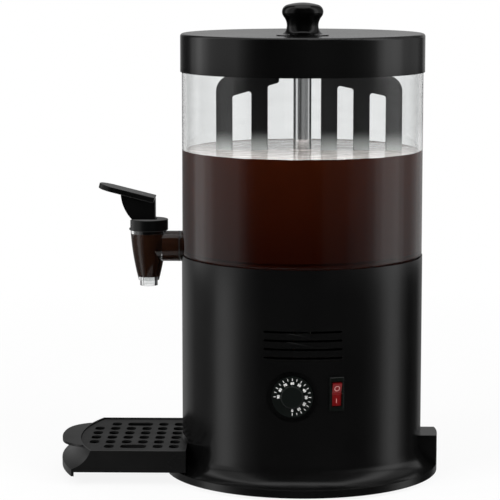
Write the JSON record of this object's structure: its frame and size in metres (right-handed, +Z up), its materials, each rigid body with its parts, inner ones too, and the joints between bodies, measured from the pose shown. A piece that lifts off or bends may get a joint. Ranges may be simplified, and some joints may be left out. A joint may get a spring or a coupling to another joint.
{
  "type": "hot chocolate dispenser",
  "caption": "Countertop hot chocolate dispenser: a clear lidded bowl with a stirrer on a drum base with dial and rocker switch, a lever tap and a pull-out drip tray.",
  "frame": {"origin": "on the counter under the drum's axis, level with the bottoms of the rubber feet", "axes": "+Z up, -X towards the tap and the drip tray, -Y towards the dial and the switch, +X towards the cord entry"},
  "size_m": [0.4081, 0.295, 0.5074],
  "materials": {
    "base_black": "satin moulded",
    "plate_steel": "zinc plated sheet",
    "foot_rubber": "matte",
    "fastener_steel": "zinc plated",
    "gland_black": "satin",
    "terminal_white": "matte",
    "stainless": "satin stainless",
    "brass_part": "turned",
    "thermostat_body": "matte",
    "dial_black": "satin with white marks",
    "switch_black": "gloss",
    "rocker_red": "gloss, translucent red",
    "motor_steel": "painted",
    "gearbox_metal": "die cast",
    "shaft_steel": "ground",
    "bush_white": "matte",
    "stirrer_black": "satin",
    "jar_clear": "clear",
    "gasket_rubber": "matte silicone",
    "lid_black": "satin",
    "knob_black": "gloss",
    "tap_clear": "clear",
    "tap_black": "satin",
    "spring_steel": "drawn wire",
    "tray_black": "satin",
    "grid_grey": "satin"
  },
  "bodies": {
    "base": {"base_shell": "base_black", "bottom_plate": "plate_steel", "rubber_feet": "foot_rubber", "plate_screws": "fastener_steel", "cord_gland": "gland_black", "gland_nut": "gland_black", "terminal_block": "terminal_white", "heating_pan": "stainless", "pan_studs": "fastener_steel", "pan_nuts": "fastener_steel", "bath_tank": "stainless", "bath_plug": "stainless", "heating_element": "stainless", "element_glands": "brass_part", "thermal_cutout": "thermostat_body", "thermostat": "thermostat_body", "thermostat_screws": "fastener_steel", "thermostat_bulb": "brass_part", "bulb_clip": "stainless", "switch_housing": "switch_black", "motor": "motor_steel", "gearbox": "gearbox_metal", "gearbox_screws": "fastener_steel", "motor_bracket": "plate_steel", "bracket_screws": "fastener_steel", "shaft_bushes": "bush_white", "column_tube": "stainless", "bowl_gasket": "gasket_rubber"},
    "drive": {"output_shaft": "shaft_steel", "shaft_coupling": "gearbox_metal", "drive_shaft": "shaft_steel", "stirrer": "stirrer_black"},
    "dial": {"dial_knob": "dial_black", "dial_spindle": "shaft_steel"},
    "rocker": {"switch_rocker": "rocker_red"},
    "bowl": {"jar": "jar_clear", "tap_body": "tap_clear", "tap_nozzle": "tap_clear", "tap_gasket": "foot_rubber", "tap_nut": "tap_black", "tap_cap": "tap_black", "stem_seal": "gasket_rubber", "lever_pin": "fastener_steel", "tap_spring": "spring_steel"},
    "lid": {"lid": "lid_black", "lid_knob": "knob_black", "knob_screw": "fastener_steel"},
    "lever": {"tap_lever": "tap_black", "link_pin": "fastener_steel"},
    "plunger": {"tap_plunger": "tap_black", "plunger_seal": "gasket_rubber"},
    "tray": {"drip_tray": "tray_black"},
    "grid": {"drip_grid": "grid_grey"}
  },
  "joints": [
    {"name": "stirrer_spin", "type": "hinge", "parent": "base", "child": "drive", "pos_m": [0, 0, 0.1335], "axis": [0, 0, 1], "continuous": true},
    {"name": "dial_turn", "type": "hinge", "parent": "base", "child": "dial", "pos_m": [-0.00946, -0.12887, 0.1058], "axis": [-0.0732, -0.9973, 0], "range_deg": [-90, 180]},
    {"name": "switch_rock", "type": "hinge", "parent": "base", "child": "rocker", "pos_m": [0.03588, -0.12349, 0.1085], "axis": [-0.9603, -0.279, 0], "range_deg": [0, 20]},
    {"name": "bowl_lift", "type": "slide", "parent": "base", "child": "bowl", "axis": [0, 0, 1], "range_m": [0, 0.25]},
    {"name": "lid_lift", "type": "slide", "parent": "bowl", "child": "lid", "axis": [0, 0, 1], "range_m": [0, 0.12]},
    {"name": "lever_tilt", "type": "hinge", "parent": "bowl", "child": "lever", "pos_m": [-0.1746, 0, 0.2689], "axis": [0, -1, 0], "range_deg": [0, 28], "stiffness_Nm_per_rad": 0.4, "springref_deg": -28.65},
    {"name": "plunger_lift", "type": "slide", "parent": "bowl", "child": "plunger", "axis": [0, 0, 1], "range_m": [0, 0.0038], "deforming": ["tap_spring"]},
    {"name": "tray_slide", "type": "slide", "parent": "base", "child": "tray", "axis": [-1, 0, 0], "range_m": [0, 0.15]},
    {"name": "grid_lift", "type": "slide", "parent": "tray", "child": "grid", "axis": [0, 0, 1], "range_m": [0, 0.06]}
  ],
  "couplings": [
    {"joint": "lever_tilt", "follows": "plunger_lift", "rad_per_m": 114.72}
  ]
}
